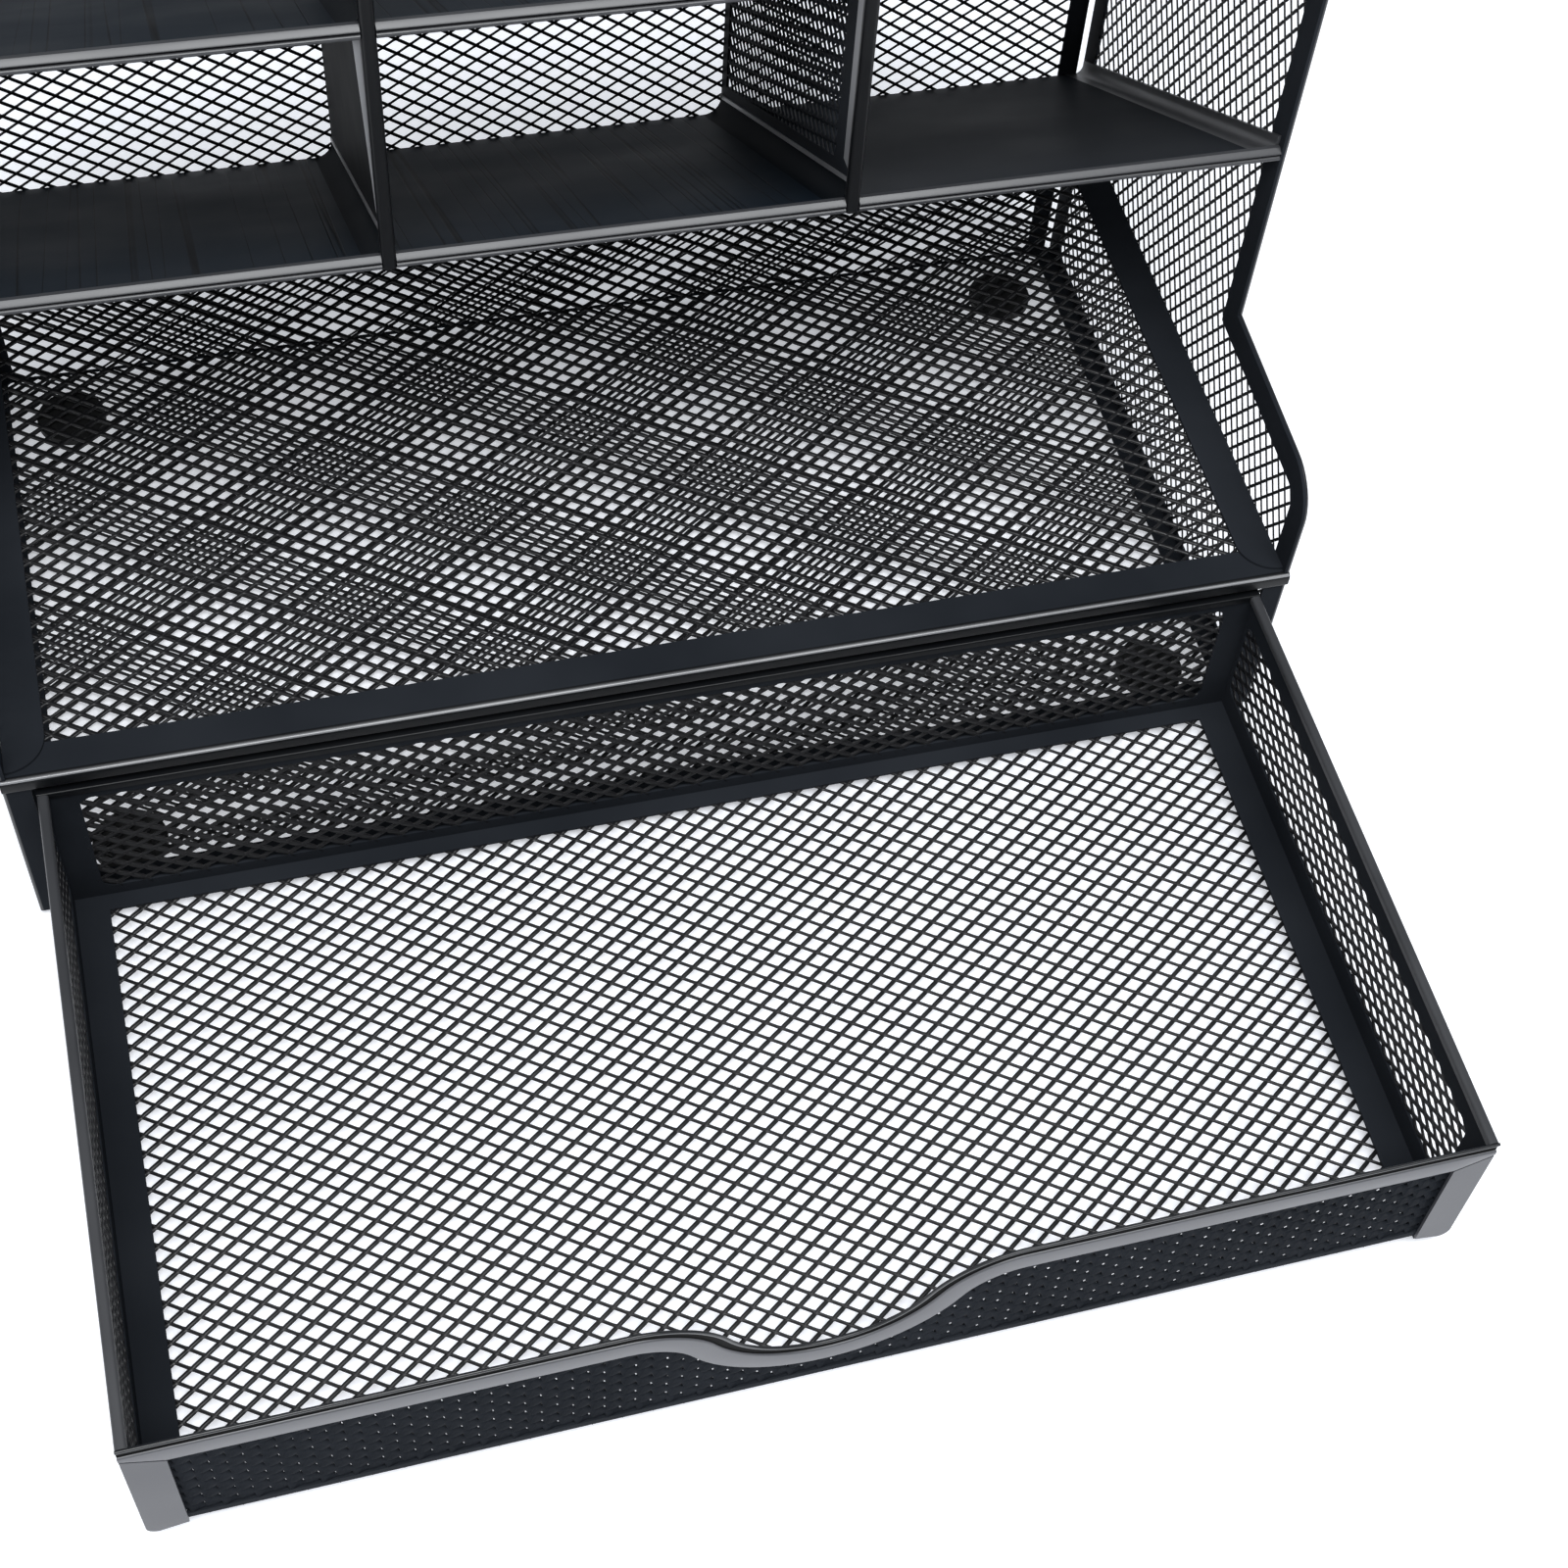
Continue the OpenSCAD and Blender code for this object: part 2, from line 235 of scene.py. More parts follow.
def expanded(
    window, t, phase=(0.0, 0.0), wide=(1.15, 16.0), narrow=(0.78, 42.0), cell=CELL, swap=False,
    knot=1.0,
):
    """Points (u, v, w), triangles and quads of expanded metal that fills a window: slanted strands
    that meet in solid knots. wide and narrow are the width and the twist in degrees of the strands
    that rise to the right and to the left; swap exchanges the two. knot scales the knots. The
    metal is centred on w=0."""
    win = np.asarray(window, float)
    if swap:
        win = win * (-1, 1)
    win = np.asarray(ccw(win), float)
    limit = grow(win, PAST_EDGE)
    a, b = cell[0] / 2, cell[1] / 2
    lo, hi = win.min(0) - (a, b), win.max(0) + (a, b)
    ni, nj = int((hi[0] - lo[0]) / a) + 3, int((hi[1] - lo[1]) / b) + 3
    ii, jj = np.meshgrid(np.arange(ni), np.arange(nj), indexing="ij")
    even = ((ii + jj) % 2) == 0
    at = np.stack((lo[0] + phase[0] + ii * a, lo[1] + phase[1] + jj * b), -1)
    index = np.full((ni, nj), -1)
    ok = even & inside(limit, at.reshape(-1, 2)).reshape(ni, nj)
    index[ok] = np.arange(ok.sum())
    centre = at[ok]
    ij = np.argwhere(ok)
    count = len(centre)
    # A knot's four arms: right-up, left-up, left-down, right-down
    steps = np.array(((1, 1), (-1, 1), (-1, -1), (1, -1)))
    length = math.hypot(a, b)
    dirs = steps * np.array((a, b)) / length
    half = np.array([wide[0], narrow[0], wide[0], narrow[0]]) / 2
    tilt = np.radians([wide[1], narrow[1], wide[1], narrow[1]])
    mean = (wide[0] + narrow[0]) / 4
    side, top = knot * mean * length / b, knot * mean * length / a
    reach = max(MIN_REACH, 0.9 * side)
    thick = t / 2

    def section(k, dist):
        """Corners of arm k at a distance from the knot: left top, right top, right bottom, left
        bottom, seen from the knot."""
        d = dirs[k]
        n = np.array((-d[1], d[0]))
        up = 1.0 if n[1] > 0 else -1.0
        h, c, s = half[k], math.cos(tilt[k]), math.sin(tilt[k])
        left, right = d * dist + n * h * c, d * dist - n * h * c
        off, lw = -n * up * s * thick, up * h * s
        return [
            (*(left + off), lw + thick * c), (*(right + off), thick * c - lw),
            (*(right - off), -lw - thick * c), (*(left - off), lw - thick * c),
        ]

    # A knot: its four arms' ends, the corner after each arm (up, left, down, right), two centres
    hub, top_ring, low_ring = [], [], []
    corners = ((0, top), (-side, 0), (0, -top), (side, 0))
    for k in range(4):
        base = len(hub)
        hub += section(k, reach) + [(*corners[k], thick), (*corners[k], -thick)]
        top_ring += [base + 1, base, base + 4]
        low_ring += [base + 2, base + 3, base + 5]
    hub += [(0, 0, thick), (0, 0, -thick)]
    xyz = np.tile(np.array(hub, float), (count, 1, 1))
    xyz[:, :, :2] += centre[:, None, :]
    points = [xyz.reshape(-1, 3)]
    base = np.arange(count) * len(hub)
    size = count * len(hub)
    tri, quad = [], []
    for i in range(12):
        j = (i + 1) % 12
        tri.append(np.stack((base + 24, base + top_ring[i], base + top_ring[j]), 1))
        tri.append(np.stack((base + 25, base + low_ring[j], base + low_ring[i]), 1))
    for k in range(4):
        p, q = base + 6 * k, base + 6 * ((k + 1) % 4)
        quad.append(np.stack((p, p + 3, p + 5, p + 4), 1))
        quad.append(np.stack((p + 4, p + 5, q + 2, q + 1), 1))
    # Strands: whole ones between two knots, cut ones to the window's edge
    for k in range(4):
        to = ij + steps[k]
        good = (to >= 0).all(1) & (to < (ni, nj)).all(1)
        other = np.full(count, -1)
        other[good] = index[to[good, 0], to[good, 1]]
        if k < 2:
            m = other >= 0
            p, q = base[m] + 6 * k, base[other[m]] + 6 * (k + 2)
            quad.append(np.stack((p, p + 1, q, q + 1), 1))
            quad.append(np.stack((p + 1, p + 2, q + 3, q), 1))
            quad.append(np.stack((p + 2, p + 3, q + 2, q + 3), 1))
            quad.append(np.stack((p + 3, p, q + 1, q + 2), 1))
        idx = np.nonzero(other < 0)[0]
        if len(idx) == 0:
            continue
        low, high = np.zeros(len(idx)), np.full(len(idx), length)
        for _ in range(16):
            guess = (low + high) / 2
            isin = inside(limit, centre[idx] + dirs[k] * guess[:, None])
            low, high = np.where(isin, guess, low), np.where(isin, high, guess)
        long = low > reach + MIN_TIP
        p = base[idx[~long]] + 6 * k
        quad.append(np.stack((p, p + 1, p + 2, p + 3), 1))
        idx, low = idx[long], low[long]
        if len(idx):
            tip = np.tile(np.array(section(k, 0.0)), (len(idx), 1, 1))
            tip[:, :, :2] += (centre[idx] + dirs[k] * low[:, None])[:, None, :]
            start = size + np.arange(len(idx)) * 4
            points.append(tip.reshape(-1, 3))
            size += len(idx) * 4
            p = base[idx] + 6 * k
            for c in range(4):
                e = (c + 1) % 4
                quad.append(np.stack((p + c, p + e, start + e, start + c), 1))
            quad.append(np.stack((start, start + 1, start + 2, start + 3), 1))
    pts = np.concatenate(points)
    if swap:
        pts = pts * (-1, 1, 1)
    return pts, np.concatenate(tri), np.concatenate(quad)


def mesh_piece(name, pts, tri, quad, place, body, material):
    """Expanded metal as a piece. place maps its (u, v, w) points into millimetres."""
    world = put(place(pts))
    mesh = bpy.data.meshes.new(name)
    mesh.vertices.add(len(world))
    mesh.vertices.foreach_set("co", world.astype(np.float32).ravel())
    centred = world - world.mean(0)
    fans = np.concatenate((tri, quad[:, :3], quad[:, (0, 2, 3)]))
    a, b, c = centred[fans[:, 0]], centred[fans[:, 1]], centred[fans[:, 2]]
    if np.sum(a * np.cross(b, c)) < 0:
        tri, quad = tri[:, ::-1], quad[:, ::-1]
    loops = np.concatenate((tri.ravel(), quad.ravel()))
    mesh.loops.add(len(loops))
    mesh.loops.foreach_set("vertex_index", loops.astype(np.int32))
    starts = np.concatenate((np.arange(len(tri)) * 3, len(tri) * 3 + np.arange(len(quad)) * 4))
    mesh.polygons.add(len(starts))
    mesh.polygons.foreach_set("loop_start", starts.astype(np.int32))
    mesh.update(calc_edges=True)
    mesh.validate()
    add_piece(name, mesh, body, [], material)


def fill(name, body, place, window, skin=None, **mesh_args):
    """Expanded metal in the middle of a sheet's thickness."""
    pts, tri, quad = expanded(window, SHEET * 0.5, **mesh_args)
    pts = pts + (0, 0, SHEET / 2)
    mesh_piece(name, pts, tri, quad, place, body, skin or STEEL_MESH)


def panel(name, node, body, place, outline, window, holed=True, part=None, **mesh_args):
    """A panel's solid border and the expanded metal in its window, or in the given part of it.
    place maps (u, v, w), with w from 0 to the sheet's thickness. holed=False says that the outline
    already leaves the window out, because the window is open on one side."""
    pts, faces = plate(outline, window if holed else None, SHEET)
    make(name + "_border", place(pts), faces, body, [node], STEEL)
    fill(name + "_mesh", body, place, part or window, **mesh_args)


# ---- materials ----


def new_material(name):
    m = bpy.data.materials.new(name)
    m.use_nodes = True
    return m, m.node_tree.nodes, m.node_tree.links, m.node_tree.nodes["Principled BSDF"]


def coat(name, dark, light, rough, spread=0.06, grain=900.0, bump=0.05, reflection_streaks=None, specular=0.5):
    """Powder-coated steel: a near-black coat with a fine grain, and faint cloudy changes of colour
    and gloss. Where reflection_streaks gives a scale along each axis, thin dark streaks cross it:
    painted reflections, with a slight dent."""
    m, nodes, links, bsdf = new_material(name)
    where = nodes.new("ShaderNodeTexCoord")
    cloud = nodes.new("ShaderNodeTexNoise")
    cloud.inputs["Scale"].default_value = 22.0
    cloud.inputs["Detail"].default_value = 3.0
    links.new(where.outputs["Object"], cloud.inputs["Vector"])
    colour = nodes.new("ShaderNodeValToRGB")
    colour.color_ramp.elements[0].position = 0.35
    colour.color_ramp.elements[0].color = (*dark, 1)
    colour.color_ramp.elements[1].position = 0.7
    colour.color_ramp.elements[1].color = (*light, 1)
    links.new(cloud.outputs["Fac"], colour.inputs["Fac"])
    base = colour.outputs["Color"]
    gloss = nodes.new("ShaderNodeMapRange")
    gloss.inputs["From Min"].default_value = 0.3
    gloss.inputs["From Max"].default_value = 0.7
    gloss.inputs["To Min"].default_value = rough - spread
    gloss.inputs["To Max"].default_value = rough + spread
    links.new(cloud.outputs["Fac"], gloss.inputs["Value"])
    links.new(gloss.outputs["Result"], bsdf.inputs["Roughness"])
    fine = nodes.new("ShaderNodeTexNoise")
    fine.inputs["Scale"].default_value = grain
    fine.inputs["Detail"].default_value = 2.0
    links.new(where.outputs["Object"], fine.inputs["Vector"])
    relief = nodes.new("ShaderNodeBump")
    relief.inputs["Strength"].default_value = bump
    relief.inputs["Distance"].default_value = 0.0002
    links.new(fine.outputs["Fac"], relief.inputs["Height"])
    normal = relief.outputs["Normal"]
    # Painted reflection: thin dark streaks multiplied into the colour, with a slight dent
    if reflection_streaks:
        stretch = nodes.new("ShaderNodeMapping")
        stretch.inputs["Scale"].default_value = reflection_streaks
        links.new(where.outputs["Object"], stretch.inputs["Vector"])
        streak_noise = nodes.new("ShaderNodeTexNoise")
        streak_noise.inputs["Scale"].default_value = 1.0
        streak_noise.inputs["Detail"].default_value = 1.5
        streak_noise.inputs["Roughness"].default_value = 0.5
        links.new(stretch.outputs["Vector"], streak_noise.inputs["Vector"])
        thin = nodes.new("ShaderNodeValToRGB")
        thin.color_ramp.elements[0].position = 0.485
        thin.color_ramp.elements[0].color = (1, 1, 1, 1)
        thin.color_ramp.elements[1].position = 0.515
        thin.color_ramp.elements[1].color = (1, 1, 1, 1)
        # The dark middle of each painted reflection streak
        groove = thin.color_ramp.elements.new(0.5)
        groove.color = (0.12, 0.12, 0.12, 1)
        links.new(streak_noise.outputs["Fac"], thin.inputs["Fac"])
        mix = nodes.new("ShaderNodeMix")
        mix.data_type = "RGBA"
        mix.blend_type = "MULTIPLY"
        mix.inputs["Factor"].default_value = 1.0
        links.new(base, mix.inputs["A"])
        links.new(thin.outputs["Color"], mix.inputs["B"])
        base = mix.outputs["Result"]
        dent = nodes.new("ShaderNodeBump")
        dent.inputs["Strength"].default_value = 0.35
        dent.inputs["Distance"].default_value = 0.0003
        links.new(thin.outputs["Color"], dent.inputs["Height"])
        links.new(normal, dent.inputs["Normal"])
        normal = dent.outputs["Normal"]
    links.new(base, bsdf.inputs["Base Color"])
    links.new(normal, bsdf.inputs["Normal"])
    bsdf.inputs["Specular IOR Level"].default_value = specular
    return m


STEEL = coat("black_coat", (0.013, 0.015, 0.0185), (0.019, 0.0215, 0.026), 0.5, specular=0.008)
DIVIDER = coat(
    "black_coat_divider", (0.011, 0.0115, 0.013), (0.019, 0.0195, 0.0215), 0.55, specular=0.01,
)
# The dividers' bends, darker and almost without gloss: painted shade in the crease
SHADED_BEND = coat("black_coat_bend_painted_shade", (0.004, 0.0055, 0.0075), (0.007, 0.009, 0.012), 0.55, specular=0.004)
STEEL_MESH = coat(
    "black_coat_mesh", (0.006, 0.006, 0.007), (0.010, 0.010, 0.011), 0.40, specular=0.35,
)
# The shelves' sheet coat, with painted reflections of the mesh as thin dark streaks
SOLID = coat(
    "black_coat_sheet", (0.0055, 0.0092, 0.0145), (0.0085, 0.013, 0.019), 0.5,
    reflection_streaks=(150.0, 0.8, 0.8), specular=0.008,
)
# A lighter coat for the shelves' flanges and the drawer's side rims: painted light on their lit
# edges
LIT_FLANGE = coat("black_coat_flange_painted_light", (0.030, 0.031, 0.034), (0.045, 0.046, 0.050), 0.42, specular=0.4)
# Painted highlight: a light, glossy coat for thin strips where light catches a bend or an edge
PAINTED_HIGHLIGHT = coat("painted_highlight_coat", (0.15, 0.152, 0.16), (0.23, 0.233, 0.24), 0.35, specular=1.0)
EDGE = coat("black_coat_edge", (0.008, 0.0085, 0.010), (0.013, 0.014, 0.016), 0.30, specular=0.5)
DARK = coat(
    "black_coat_roll", (0.003, 0.0034, 0.0042), (0.005, 0.0056, 0.0065), 0.34, specular=0.16,
)
# The shelves' lips, lighter than the rest: painted highlight over their real gloss
LIT_LIP = coat("black_coat_lip_painted_light", (0.026, 0.027, 0.030), (0.040, 0.041, 0.045), 0.32, specular=0.42)
# The drawer front's band and posts, lighter than the rest: painted light on their front faces
LIT_BAND = coat("black_coat_band_painted_light", (0.048, 0.049, 0.056), (0.066, 0.067, 0.075), 0.42, specular=0.7)
LIT_POST = coat("black_coat_post_painted_light", (0.036, 0.037, 0.043), (0.050, 0.051, 0.058), 0.45, specular=0.55)
# Near black: painted shade in the drawer front's recessed groove
SHADED_GROOVE = coat("black_coat_groove_painted_shade", (0.001, 0.001, 0.001), (0.002, 0.002, 0.002), 0.7, specular=0.1)
RUBBER = coat(
    "pad_rubber", (0.006, 0.006, 0.006), (0.012, 0.012, 0.012), 0.8, grain=2500.0, bump=0.2,
)


# ---- camera, floor and light ----


def add_camera():
    """A camera at the photograph's viewing angle, from its place and its three directions."""
    cam = bpy.data.cameras.new("camera")
    cam.lens = 60.908
    cam.sensor_width = 36.0
    cam.shift_x = -0.1060
    cam.shift_y = 0.0055
    cam.clip_start = 0.01
    cam.clip_end = 20
    obj = bpy.data.objects.new("camera", cam)
    right = Vector((0.95557, -0.27524, 0.10552))
    down = Vector((-0.16992, -0.80685, -0.56579))
    ahead = Vector((0.24087, 0.52272, -0.81777))
    turn = Matrix((right, -down, -ahead)).transposed().to_4x4()
    turn.translation = put((-101.46, -390.71, 594.45))
    obj.matrix_world = turn
    bpy.context.scene.collection.objects.link(obj)
    bpy.context.scene.camera = obj


def add_light(name, place, aim, size, power, colour=(1, 1, 1)):
    """A soft box at a place, in metres, turned to a point."""
    lamp = bpy.data.lights.new(name, "AREA")
    lamp.shape = "RECTANGLE"
    lamp.size, lamp.size_y = size
    lamp.energy = power
    lamp.color = colour
    obj = bpy.data.objects.new(name, lamp)
    obj.location = place
    ahead = Vector(aim) - Vector(place)
    obj.rotation_euler = ahead.to_track_quat("-Z", "Y").to_euler()
    bpy.context.scene.collection.objects.link(obj)


def add_stage():
    """The plain white floor, the pale world and the lights."""
    floor_mesh = bpy.data.meshes.new("floor")
    s = 4.0
    floor_mesh.from_pydata([(-s, -s, 0), (s, -s, 0), (s, s, 0), (-s, s, 0)], [], [(0, 1, 2, 3)])
    floor = bpy.data.objects.new("floor", floor_mesh)
    bpy.context.scene.collection.objects.link(floor)
    m, _, _, bsdf = new_material("white_floor")
    bsdf.inputs["Base Color"].default_value = (0.88, 0.89, 0.92, 1)
    bsdf.inputs["Roughness"].default_value = 0.9
    bsdf.inputs["Specular IOR Level"].default_value = 0.1
    bsdf.inputs["Emission Color"].default_value = (0.93, 0.95, 1.0, 1)
    bsdf.inputs["Emission Strength"].default_value = 0.40
    floor_mesh.materials.append(m)
    world = bpy.data.worlds.new("world")
    bpy.context.scene.world = world
    world.use_nodes = True
    background = world.node_tree.nodes["Background"]
    background.inputs["Color"].default_value = (0.90, 0.95, 1.0, 1)
    background.inputs["Strength"].default_value = 0.30
    bpy.context.scene.view_settings.view_transform = "Standard"
    add_light("top", (0.0, -0.55, 1.40), (0, 0, 0.05), (1.2, 0.7), 29, (0.97, 0.985, 1.0))
    add_light("left", (-1.3, -0.3, 0.7), (0, 0, 0.1), (0.5, 0.7), 3)


add_camera()
add_stage()


# ---- frame: base, tray, back ----


def flat(z):
    """A sheet that faces up, from z up to z + t."""
    return lambda p: np.stack((p[:, 0], p[:, 1], z + p[:, 2]), 1)


def wall_y(y):
    """A sheet that faces forward, from y back to y + t."""
    return lambda p: np.stack((p[:, 0], y + p[:, 2], p[:, 1]), 1)


def wall_x(x):
    """A sheet that faces sideways, from x to x + t."""
    return lambda p: np.stack((x + p[:, 2], p[:, 0], p[:, 1]), 1)


def rect(x0, x1, y0, y1):
    """A rectangle, counterclockwise."""
    return [(x0, y0), (x1, y0), (x1, y1), (x0, y1)]


def along_x(profile, x0, x1):
    """Rings of a (y, z) profile at two places across."""
    return [np.array([(x, y, z) for y, z in profile]) for x in (x0, x1)]


lo, hi = BASE
panel(
    "base", "base_panel", "frame", flat(lo[2]), rect(lo[0], hi[0], lo[1], hi[1]),
    round_box(-157.5, 157.5, 10.0, 184.0, 2.0), phase=(1.3, 0.9),
)
# Outer radius of the tray's front fold
FOLD = 1.6
lo, hi = TRAY
panel(
    "tray", "tray_panel", "frame", flat(lo[2]), rect(lo[0], hi[0], FOLD, hi[1]),
    round_box(-155.0, 155.0, 10.3, 181.0, 2.0), phase=(0.2, 2.1), swap=True, wide=(1.05, 20.0),
    narrow=(0.82, 35.0),
)
# The back's mesh comes in two pieces, which meet halfway between two rows of knots
lo, hi = BACK
half, low, shift, rows = 155.3, 2.2, 0.4, 28
window = round_box(-half, half, low, TOP - 8, 5.0)
corner = len(window) // 4
apart = CELL[1] / 4 - shift
cut = low + rows * CELL[1] - apart
look = {"swap": True, "wide": (0.85, 20.0), "narrow": (0.62, 42.0)}
panel(
    "back", "back_panel", "frame", wall_y(lo[1]), rect(lo[0], hi[0], lo[2], hi[2]), window,
    part=window[:corner] + [(half, cut), (-half, cut)] + window[3 * corner:],
    phase=(0.7, shift), **look,
)
fill(
    "back_mesh_upper", "frame", wall_y(lo[1]),
    [(half, cut)] + window[corner:3 * corner] + [(-half, cut)], phase=(0.7, shift + apart), **look,
)

# The tray's front edge folds down in a round bend and turns back under itself
lo, hi = LIP_BOX
z0, z1, y1 = lo[2], hi[2], hi[1]
profile = arc(FOLD, z1 - FOLD, FOLD, 90, 180) + arc(0.8, z0 + 0.8, 0.8, 180, 270, 5)
profile += [(y1, z0), (y1, z0 + SHEET), (SHEET, z0 + SHEET)]
profile += arc(FOLD, z1 - FOLD, FOLD - SHEET, 180, 90)
loft(
    "tray_lip", along_x(profile, lo[0], hi[0]), "frame", ["tray_front_lip"], DARK,
)
# A painted highlight: a light strip along the crest of the bend
crest = FOLD * (1 - math.sqrt(0.5))
loft(
    "tray_lip_crest", along_x(arc(crest, z1 - crest, 0.44, 0, 330, 11), lo[0] + 0.3, hi[0] - 0.3),
    "frame", [], PAINTED_HIGHLIGHT,
)


# ---- frame: side panels ----


# The step's sloping top edge: its height at the front and at its depth
STEP_LOW, STEP_HIGH, STEP_DEPTH = 92.2, 96.6, 60


def side_loop(front, top, bottom, back, upper_front, corner=4.0):
    """The stepped side's outline of depths and heights, up to the depth back. front, top, bottom
    and upper_front are how far it is set in along those edges. corner rounds the three corners
    away from the step, and 0 leaves them sharp."""
    step = math.atan((STEP_HIGH - STEP_LOW) / (STEP_DEPTH - SHEET))
    y0 = SHEET + front
    y1 = SETBACK + upper_front
    zf = STEP_LOW + front * math.tan(step) - top / math.cos(step)
    zb = STEP_LOW + (y1 - SHEET) * math.tan(step) - top / math.cos(step)
    rr = max(BIG_R - max(front, top), 5.0) if front or top else BIG_R
    cz = zf + rr * math.tan(step) - rr / math.cos(step)
    ru = max(BIG_R - max(upper_front, top), 5.0) if front or top else BIG_R
    zt = SIDE[1][2] - top
    pts = []
    if corner:
        pts += arc(y0 + corner, SIDE[0][2] + bottom + corner, corner, 180, 270, 6)
        pts += arc(back - corner, SIDE[0][2] + bottom + corner, corner, 270, 360, 6)
        pts += arc(back - corner, zt - corner, corner, 0, 90, 6)
    else:
        pts += [(y0, SIDE[0][2] + bottom), (back, SIDE[0][2] + bottom), (back, zt)]
    pts += arc(y1 + ru, zt - ru, ru, 90, 180, 10)
    pts += [(y1, zb)]
    pts += arc(y0 + rr, cz, rr, 90 + math.degrees(step), 180, 10)
    return pts


outer = side_loop(front=0, top=0, bottom=0, back=SIDE[1][1], upper_front=0, corner=0)
inner = side_loop(front=7.5, top=9.5, bottom=3.2, back=178.4, upper_front=7.5)
for side, word in ((1, "right"), (-1, "left")):
    x = SIDE[0][0] if side > 0 else -SIDE[1][0]
    panel(
        word + "_side", word + "_side_panel", "frame", wall_x(x), outer, inner, phase=(0.5, 1.0),
        cell=(4.8, 7.3), wide=(0.34, side * 25.0), narrow=(0.85, side * 10.0), knot=0.7,
    )
    # The folded edge on the outer face, with both its free corners rounded
    near, far, wide = SIDE[1][0], box("right_side_hem")[1][0], 4.0
    r0, r1 = 0.6, 0.5
    section = [(near, 0), (near + 0.15, 0)] + arc(far - r0, r0, r0, -90, 0, 4)
    section += arc(far - r1, wide - r1, r1, 0, 90, 3) + [(near, wide)]
    rings = []
    edges = [side_loop(g, g, 0, SIDE[1][1], g, corner=0) for _, g in section]
    for k in [*range(2, len(outer)), 0]:
        rings.append(np.array([(side * a, *edge[k]) for (a, _), edge in zip(section, edges)]))
    loft(word + "_hem", rings, "frame", [word + "_side_hem"], EDGE)


# ---- drawer ----

# The front and the floor are one sheet of mesh, which bends between them without a border
BEND = 2.6
lo, hi = FLOOR
half, inside_y, far = 148.0, FRONT_PANEL[0][1] + BEND, hi[1] - 4.6
window = rect(-half, half, inside_y, far)
outline = [
    (lo[0], inside_y), (-half, inside_y), (-half, far), (half, far), (half, inside_y),
    (hi[0], inside_y), (hi[0], hi[1]), (lo[0], hi[1]),
]
panel(
    "drawer_floor", "drawer_floor", "drawer", flat(lo[2]), outline, window, holed=False,
    phase=(0.9, 0.3),
)
lo, hi = box("drawer_right_wall")
for node, x in (("drawer_right_wall", lo[0]), ("drawer_left_wall", -hi[0])):
    panel(
        node, node, "drawer", wall_x(x), rect(lo[1], hi[1], lo[2], hi[2]),
        round_box(lo[1] + 8.5, hi[1] - 1.5, lo[2] + 8.6, hi[2] - 9.0, 3.0), phase=(0.4, 0.2),
        cell=(7.2, 4.5), wide=(1.15, 0.0), narrow=(1.05, 0.0), knot=1.25,
    )
lo, hi = BACK_WALL
panel(
    "drawer_back_wall", "drawer_back_wall", "drawer", wall_y(lo[1]),
    rect(lo[0], hi[0], lo[2], hi[2]),
    round_box(-148.5, 148.5, lo[2] + 4.6, hi[2] - 2.6, 3.0), phase=(1.1, 0.6), swap=True,
    wide=(1.3, 36.0), narrow=(0.9, 45.0),
)

# The finger scoop: its middle, its depth and the half width of one of its curves
SCOOP_X, SCOOP_DEEP, SCOOP_HALF = -4.0, 27.0, 46.0
SCOOP_ANGLE = 2 * math.atan(SCOOP_DEEP / SCOOP_HALF)
SCOOP_R = SCOOP_HALF / math.sin(SCOOP_ANGLE) / 2


def scoop_edge(g, half, n=14):
    """The front's top edge from right to left, g below its true one, as (x, z) points."""
    bowl_z = DRAWER_TOP - SCOOP_DEEP + SCOOP_R
    shoulder_z = DRAWER_TOP - SCOOP_R
    deg = math.degrees(SCOOP_ANGLE)
    pts = [(half, DRAWER_TOP - g)]
    pts += arc(SCOOP_X + SCOOP_HALF, shoulder_z, SCOOP_R - g, 90, 90 + deg, n)
    pts += arc(SCOOP_X, bowl_z, SCOOP_R + g, -90 + deg, -90 - deg, 2 * n)
    pts += arc(SCOOP_X - SCOOP_HALF, shoulder_z, SCOOP_R - g, 90 - deg, 90, n)
    pts += [(-half, DRAWER_TOP - g)]
    return pts


lo, hi = FRONT_PANEL
# leg is the border's width beside the mesh, under the posts, and deep is its depth below the edge,
# behind the band. set_back keeps the twisted strands behind the front plane.
half, leg, deep, set_back = hi[0], 8.5, 8.6, 0.45
bend_z = lo[2] + BEND
low_v = bend_z + 1.8
window = [(-half + leg, low_v), (half - leg, low_v)] + scoop_edge(deep, half - leg)
outline = [(half - leg, lo[2]), (half, lo[2])] + scoop_edge(2.0, half)
outline += [(-half, lo[2]), (-half + leg, lo[2])] + scoop_edge(deep, half - leg)[::-1]
pts, faces = plate(outline, None, SHEET)
make(
    "drawer_front_border", wall_y(lo[1])(pts), faces, "drawer", ["drawer_front_panel"],
    STEEL,
)
pts, tri, quad = expanded(
    window, SHEET * 0.5, phase=(0.3, 0.0), swap=True, wide=(4.0, 20.0), narrow=(1.8, 10.0),
    knot=0.85,
)
mesh_piece(
    "drawer_front_mesh", pts + (0, 0, SHEET / 2 + set_back), tri, quad, wall_y(lo[1]), "drawer",
    STEEL,
)
profile = arc(lo[1] + BEND, bend_z, BEND, 270, 180, 8)
profile += [(lo[1], low_v), (lo[1] + SHEET, low_v)]
profile += arc(lo[1] + BEND, bend_z, BEND - SHEET, 180, 270, 8)
loft(
    "drawer_front_bend", along_x(profile, leg - half, half - leg), "drawer", [],
    STEEL,
)


y0 = DRAWER_FRONT
half = FRONT_RIM[1][0]
# The posts' width, and the mitre where they meet the band: its rise over that width, and the depth
# below the edge from which a bar takes part in it
POST_W = half - 148.2
MITRE = 4.2
MITRE_FROM = 6.0


